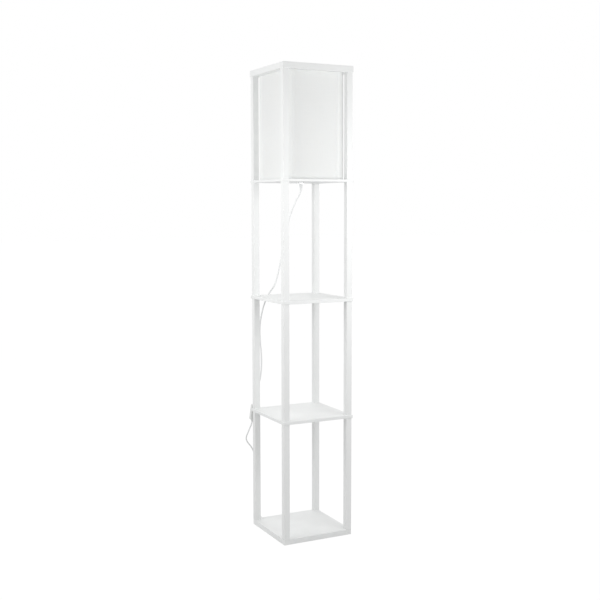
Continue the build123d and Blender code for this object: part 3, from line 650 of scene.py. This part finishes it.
def hank_band():
    """A flat band with rounded edges round the waist."""
    base = tie_outline(CORD_DIAMETER / 2 + TIE_CLEARANCE)
    middle = Vector((sum(p[0] for p in base) / len(base), sum(p[1] for p in base) / len(base)))
    verts = []
    for y, z in base:
        outward = (Vector((y, z)) - middle).normalized()
        for x, rise in TIE_PROFILE:
            verts.append((HANK_MIDDLE.x + x, y + outward.x * rise, z + outward.y * rise))
    size = len(TIE_PROFILE)
    faces = []
    for i in range(len(base)):
        ahead = (i + 1) % len(base)
        for k in range(size):
            beside = (k + 1) % size
            faces.append((i * size + k, i * size + beside, ahead * size + beside, ahead * size + k))
    return mesh_piece("hank_band", verts, faces, switch_white)


band = hank_band()
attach(band, "frame")
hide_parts("hank_tie")

# ---------------------------------------------------------------- threads

CAP_BOTTOM = 1250.0
NECK_BOTTOM = 1274.6
SHELL_BOTTOM = 1240.0
SHELL_TOP = 1270.0
THREAD_PITCH = 3.63
THREAD_ROWS = 45
THREAD_FADE = 5  # rows over which a thread fades out at each end
TURNING_SEGMENTS = 72


def threaded_turning(name, profile, material, ring=False):
    """A turned piece about the lamp's axis from (radius, height, thread depth) rows.

    A ring's last row joins its first.
    """
    size = TURNING_SEGMENTS
    verts = []
    for radius, height, depth in profile:
        for angle in turn_angles(size):
            hollow = 0.5 - 0.5 * math.cos(2 * math.pi * height / THREAD_PITCH - angle)
            reach = radius - depth * hollow
            verts.append((reach * math.cos(angle), reach * math.sin(angle), height))
    faces = []
    rows = len(profile)
    for row in range(rows if ring else rows - 1):
        above = (row + 1) % rows
        for k in range(size):
            beside = (k + 1) % size
            faces.append((row * size + k, row * size + beside, above * size + beside, above * size + k))
    if not ring:
        faces.append(tuple(range(size)))
        faces.append(tuple((rows - 1) * size + k for k in range(size)))
    return mesh_piece(name, verts, faces, material)


def thread_rows(radius, bottom, top, depth):
    """Rows of a thread that fades out at both ends."""
    step = (top - bottom) / (THREAD_ROWS - 1)
    rows = []
    for i in range(THREAD_ROWS):
        fade = smooth_step(min(i, THREAD_ROWS - 1 - i) / THREAD_FADE)
        rows.append((radius, bottom + i * step, depth * fade))
    return rows


cap_profile = [(11.0, CAP_BOTTOM, 0), (12.4, CAP_BOTTOM + 0.6, 0)]
cap_profile += thread_rows(13.0, CAP_BOTTOM + 1.2, CAP_BOTTOM + 18.6, 0.95)
cap_profile += [(12.6, CAP_BOTTOM + 19.3, 0), (12.6, CAP_BOTTOM + 20.2, 0)]
cap_profile += [(13.0, CAP_BOTTOM + 20.8, 0), (13.0, NECK_BOTTOM, 0)]
threaded_cap = threaded_turning("bulb_screw_cap", cap_profile, aluminium)
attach(threaded_cap, "bulb")
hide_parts("bulb_cap")

socket_profile = thread_rows(14.3, SHELL_BOTTOM + 0.2, SHELL_TOP - 0.2, 0.7)
socket_profile += [(14.6, SHELL_TOP, 0), (14.9, SHELL_TOP - 0.2, 0)]
socket_profile += [(14.9, SHELL_BOTTOM, 0), (14.3, SHELL_BOTTOM, 0)]
socket_thread = threaded_turning("socket_threaded_shell", socket_profile, brass, ring=True)
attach(socket_thread, "frame")
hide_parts("socket_screw_shell")

# ---------------------------------------------------------------- screws

SCREW_SEGMENTS = 32
FIRST_TURN = 0.5  # of the first screw's cross, in radians
NEXT_TURN = 1.1  # and how much further each next one is turned
RECESS_TAPER = 0.65  # a recess's size at its bottom, as a share of that at its top
POST_CENTRE = 117.75
LAMP_TOP = 1590.0
BASE_BOTTOM = 1.0
CASE_FACE = 6.4  # from the switch's middle to the heads of its screws
CASE_SCREW_REACH = 20.0
WOOD_SCREW = [(4.4, 0.0), (4.5, 0.08), (2.5, 2.25), (2.5, 53.9)]  # radius and depth
CASE_SCREW = [(2.2, 0.0), (2.4, 0.2), (2.4, 1.4), (1.25, 1.4), (1.25, 9.9)]


def add_screw(build, at, profile, arm, recess):
    """One screw with a cross recess; at gives its corner for a level place and a depth."""
    rings = []
    for radius, depth in profile:
        ring = [at(radius * math.cos(a), radius * math.sin(a), depth) for a in turn_angles(SCREW_SEGMENTS)]
        rings.append([build.verts.new(corner) for corner in ring])
    for upper, lower in zip(rings, rings[1:]):
        for k in range(SCREW_SEGMENTS):
            beside = (k + 1) % SCREW_SEGMENTS
            build.faces.new((upper[k], upper[beside], lower[beside], lower[k]))
    build.faces.new(rings[-1])
    half = arm / 5
    cross = [(half, half), (half, arm), (-half, arm), (-half, half), (-arm, half), (-arm, -half)]
    cross += [(-x, -y) for x, y in cross]
    rim = [build.verts.new(at(x, y, 0)) for x, y in cross]
    sunk = [build.verts.new(at(x * RECESS_TAPER, y * RECESS_TAPER, recess)) for x, y in cross]
    for k in range(len(rim)):
        beside = (k + 1) % len(rim)
        build.faces.new((rim[k], rim[beside], sunk[beside], sunk[k]))
    build.faces.new(sunk)
    face_edges = []
    for ring in (rings[0], rim):
        face_edges += [build.edges.get((ring[k - 1], ring[k])) for k in range(len(ring))]
    bmesh.ops.triangle_fill(build, use_beauty=True, edges=face_edges)


def cross_screws(name, node, seats, outward, profile, arm, recess):
    """Screws in one piece. seats are the middles of the heads, and profile is measured from the face."""
    turn = Vector(outward).to_track_quat("Z", "Y")
    build = bmesh.new()
    for count, seat in enumerate(seats):
        spin = Matrix.Rotation(FIRST_TURN + NEXT_TURN * count, 3, "Z")

        def at(x, y, depth, seat=seat, spin=spin):
            return (Vector(seat) + turn @ (spin @ Vector((x, y, -depth)))) * MM

        add_screw(build, at, profile, arm, recess)
    bmesh.ops.recalc_face_normals(build, faces=build.faces)
    mesh = bpy.data.meshes.new(name)
    build.to_mesh(mesh)
    build.free()
    piece = finished_piece(name, mesh, steel, sharp_angle=25)
    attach(piece, "frame")
    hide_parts(node)
    return piece


corners = [(x, y) for x in (-POST_CENTRE, POST_CENTRE) for y in (-POST_CENTRE, POST_CENTRE)]
top_seats = [(x, y, LAMP_TOP) for x, y in corners]
base_seats = [(x, y, BASE_BOTTOM) for x, y in corners]
case_face = SWITCH_MIDDLE - Vector((0, CASE_FACE, 0))
case_seats = [case_face + SWITCH_AXIS * along for along in (-CASE_SCREW_REACH, CASE_SCREW_REACH)]
cross_screws("top_cross_screws", "top_screws", top_seats, (0, 0, 1), WOOD_SCREW, arm=2.5, recess=1.7)
cross_screws("base_cross_screws", "base_screws", base_seats, (0, 0, -1), WOOD_SCREW, arm=2.5, recess=1.7)
case_screws = cross_screws(
    "switch_case_screws", "switch_screws", case_seats, (0, -1, 0), CASE_SCREW, arm=1.3, recess=0.9
)

# ---------------------------------------------------------------- marks on the rocker

ROCKER_LEAN = math.radians(8)  # half of its swing, and the slope of each half of its top
PIVOT_LEVEL = 4.0
ROCKER_RISE = 2.6  # from the pivot to the middle of its top
MARK_REACH = 4.2  # from the pivot to each mark
MARK_SEGMENTS = 28
MARK_SIDES = 8
MARK_HALF_WIDTH = 0.24
MARK_RISE = 0.16
RING = (1.6, 1.6)  # half the length and half the width of each mark's middle line
BAR = (1.7, 0.02)


def ellipse(half_length, half_width):
    """Points round the middle line of a mark."""
    return [(half_length * math.cos(a), half_width * math.sin(a)) for a in turn_angles(MARK_SEGMENTS)]


def rocker_marks():
    """A raised ring and bar on the two halves of the rocker, for off and on."""
    outward = Vector((0, 1, 0))
    along = SWITCH_AXIS * math.cos(ROCKER_LEAN) - outward * math.sin(ROCKER_LEAN)
    across = SWITCH_AXIS.cross(outward)
    lift = across.cross(along)
    pivot = SWITCH_MIDDLE + outward * PIVOT_LEVEL
    height = ROCKER_RISE + MARK_REACH * math.tan(ROCKER_LEAN)
    verts = []
    faces = []
    for half, outline in ((1, ellipse(*RING)), (-1, ellipse(*BAR))):
        surface = along * math.cos(ROCKER_LEAN) + lift * half * math.sin(ROCKER_LEAN)
        normal = lift * math.cos(ROCKER_LEAN) - along * half * math.sin(ROCKER_LEAN)
        middle = pivot + along * half * MARK_REACH + lift * height
        first = len(verts)
        for (u, v), turn in zip(outline, turn_angles(MARK_SEGMENTS)):
            outer = Vector((math.cos(turn), math.sin(turn)))
            for angle in turn_angles(MARK_SIDES):
                swell = MARK_HALF_WIDTH * math.cos(angle)
                point = surface * (u + outer.x * swell) + across * (v + outer.y * swell)
                verts.append(middle + point + normal * MARK_RISE * math.sin(angle))
        for k in range(MARK_SEGMENTS):
            here = first + k * MARK_SIDES
            ahead = first + (k + 1) % MARK_SEGMENTS * MARK_SIDES
            for j in range(MARK_SIDES):
                beside = (j + 1) % MARK_SIDES
                faces.append((here + j, ahead + j, ahead + beside, here + beside))
    return mesh_piece("rocker_marks", verts, faces, mark_grey)


marks = rocker_marks()
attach(marks, "rocker")

# ---------------------------------------------------------------- floor, world and lamps

FLOOR_REACH = 30.0
FLOOR_GLOW = 0.955
FLOOR_SHARE = 0.1  # of the lit floor, and so of its shadow, that shows over the glow
WORLD_STRENGTH = 0.6


def seen_rays(tree):
    """1 for what the camera sees, also in gloss and through glass, and 0 for what lights the object."""
    path = tree.nodes.new("ShaderNodeLightPath")
    seen = path.outputs["Is Camera Ray"]
    for other in ("Is Glossy Ray", "Is Transmission Ray"):
        both = tree.nodes.new("ShaderNodeMath")
        both.operation = "MAXIMUM"
        tree.links.new(seen, both.inputs[0])
        tree.links.new(path.outputs[other], both.inputs[1])
        seen = both.outputs[0]
    return seen


def floor_material():
    """Matt white, which glows white where it is seen and keeps a faint shadow there."""
    material = bpy.data.materials.new("floor_white")
    material.use_nodes = True
    tree = material.node_tree
    shader = tree.nodes["Principled BSDF"]
    shader.inputs["Base Color"].default_value = (0.80, 0.80, 0.80, 1)
    shader.inputs["Roughness"].default_value = 0.9
    shader.inputs["Specular IOR Level"].default_value = 0.1
    seen = seen_rays(tree)
    glow = tree.nodes.new("ShaderNodeEmission")
    glow.inputs["Strength"].default_value = FLOOR_GLOW
    dark = tree.nodes.new("ShaderNodeBsdfDiffuse")
    dark.inputs["Color"].default_value = (0, 0, 0, 1)
    faint = tree.nodes.new("ShaderNodeMixShader")
    faint.inputs[0].default_value = FLOOR_SHARE
    tree.links.new(dark.outputs[0], faint.inputs[1])
    tree.links.new(shader.outputs[0], faint.inputs[2])
    bright = tree.nodes.new("ShaderNodeAddShader")
    tree.links.new(faint.outputs[0], bright.inputs[0])
    tree.links.new(glow.outputs[0], bright.inputs[1])
    shown = tree.nodes.new("ShaderNodeMixShader")
    tree.links.new(seen, shown.inputs[0])
    tree.links.new(shader.outputs[0], shown.inputs[1])
    tree.links.new(bright.outputs[0], shown.inputs[2])
    tree.links.new(shown.outputs[0], tree.nodes["Material Output"].inputs["Surface"])
    return material


def floor_plane():
    """A large level floor under the lamp."""
    mesh = bpy.data.meshes.new("floor")
    signs = ((-1, -1), (1, -1), (1, 1), (-1, 1))
    mesh.from_pydata([(x * FLOOR_REACH, y * FLOOR_REACH, 0) for x, y in signs], [], [(0, 1, 2, 3)])
    piece = add_object("floor", mesh)
    mesh.materials.append(floor_material())


def studio_world():
    """Plain light from all round, which shows white where it is seen."""
    world = bpy.data.worlds.new("studio")
    scene.world = world
    world.use_nodes = True
    tree = world.node_tree
    background = tree.nodes["Background"]
    background.inputs["Color"].default_value = (1, 1, 1, 1)
    strength = tree.nodes.new("ShaderNodeMapRange")
    strength.inputs[3].default_value = WORLD_STRENGTH
    strength.inputs[4].default_value = 1.0
    tree.links.new(seen_rays(tree), strength.inputs[0])
    tree.links.new(strength.outputs[0], background.inputs["Strength"])


def softbox(name, place, target, size, power):
    """A large square lamp that faces its target."""
    data = bpy.data.lights.new(name, "AREA")
    data.shape = "RECTANGLE"
    data.size = size
    data.size_y = size
    data.energy = power
    lamp = add_object(name, data)
    lamp.location = place
    lamp.rotation_mode = "QUATERNION"
    lamp.rotation_quaternion = (Vector(target) - Vector(place)).to_track_quat("-Z", "Y")
    lamp.visible_camera = False


floor_plane()
studio_world()
softbox("left", (-1.287, 0.0, 1.201), (0, 0, 1.02), 0.7, 2.8)
softbox("front_left", (-0.957, -0.256, 1.189), (0, 0, 1.05), 0.6, 2.5)
softbox("front_right", (0.403, -0.905, 1.159), (0, 0, 1.02), 0.6, 4.4)
softbox("back", (0, 2.9, 2.25), (0, 0, 0.9), 1.6, 22)

# ---------------------------------------------------------------- update

bpy.context.view_layer.update()
